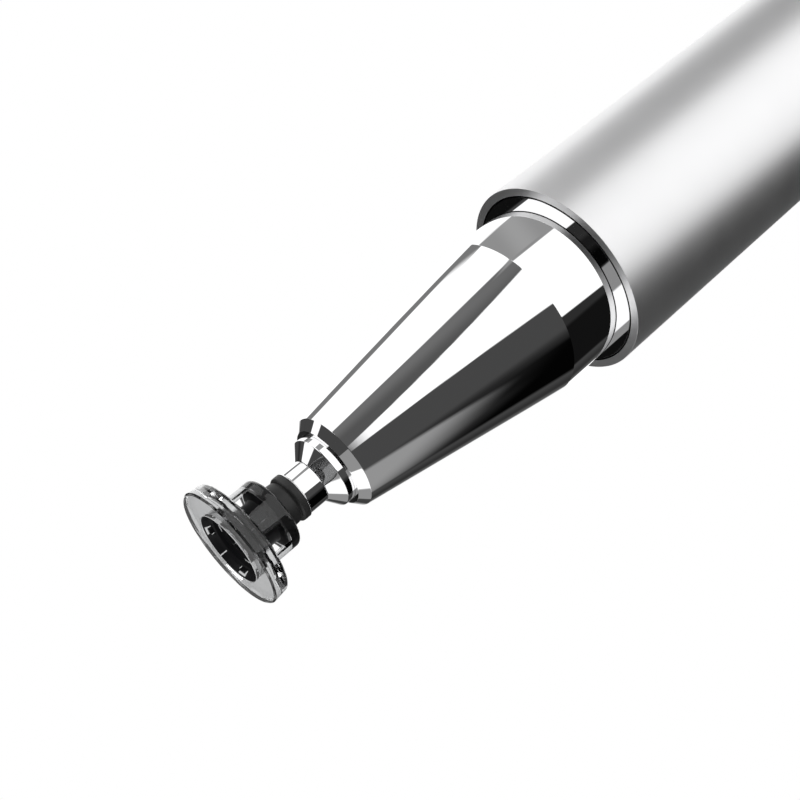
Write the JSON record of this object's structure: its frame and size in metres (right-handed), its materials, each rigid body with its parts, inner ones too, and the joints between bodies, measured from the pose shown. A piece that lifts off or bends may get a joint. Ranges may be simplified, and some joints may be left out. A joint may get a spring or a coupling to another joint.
{
  "type": "stylus pen",
  "caption": "Metal stylus with a clear disc on a cushioned ball-jointed stud, and a ballpoint under a pull-off magnetic cap at its tail.",
  "frame": {"origin": "centre of the cap's flat end, on which the pen stands", "axes": "+Z along the pen from the cap to the disc, +X and +Y level; the disc tilts about X"},
  "size_m": [0.0104, 0.0104, 0.142],
  "materials": {
    "clear_plastic": "polished smoke-grey polycarbonate",
    "black_acetal": "black moulded acetal with a soft sheen",
    "polished_chrome": "mirror-bright chrome plating",
    "black_rubber": "black rubber",
    "spring_steel": "drawn spring wire",
    "brass": "turned brass",
    "satin_aluminium": "fine bead-blasted and clear anodised",
    "tube_plastic": "milky polypropylene tube",
    "ink": "black ink",
    "grease": "amber grease",
    "point_steel": "turned nickel silver",
    "carbide": "ground tungsten carbide",
    "magnet": "nickel-plated ring magnet",
    "liner_plastic": "black moulded plastic"
  },
  "bodies": {
    "root": {"nose_cone": "polished_chrome", "nose_gasket": "black_rubber", "front_collar": "polished_chrome", "barrel": "satin_aluminium", "core_sleeve": "brass", "spring_seat": "brass", "plunger_spring": "spring_steel", "refill_spring": "spring_steel", "refill_tube": "tube_plastic", "refill_ink": "ink", "ink_follower": "grease", "refill_tip": "point_steel", "refill_ball": "carbide", "writing_nose": "polished_chrome", "rear_collar": "polished_chrome"},
    "plunger": {"plunger": "polished_chrome"},
    "stud": {"ball_stud": "polished_chrome", "stud_bumper": "black_rubber"},
    "disc": {"touch_disc": "clear_plastic", "ball_socket": "black_acetal"},
    "cap": {"cap_magnet": "magnet", "cap_liner": "liner_plastic", "cap_shell": "satin_aluminium", "cap_end": "polished_chrome"}
  },
  "joints": [
    {"name": "tip_press", "type": "slide", "parent": "root", "child": "plunger", "axis": [0, 0, 1], "range_m": [-0.0012, 0], "stiffness_N_per_m": 250, "springref_m": 0.002, "deforming": ["plunger_spring"]},
    {"name": "stud_spin", "type": "hinge", "parent": "plunger", "child": "stud", "pos_m": [0, 0, 0.14027], "axis": [0, 0, 1], "continuous": true},
    {"name": "disc_tilt", "type": "hinge", "parent": "stud", "child": "disc", "pos_m": [0, 0, 0.14027], "axis": [1, 0, 0], "range_deg": [-25, 25]},
    {"name": "cap_pull", "type": "slide", "parent": "root", "child": "cap", "axis": [0, 0, 1], "range_m": [-0.042, 0]}
  ]
}
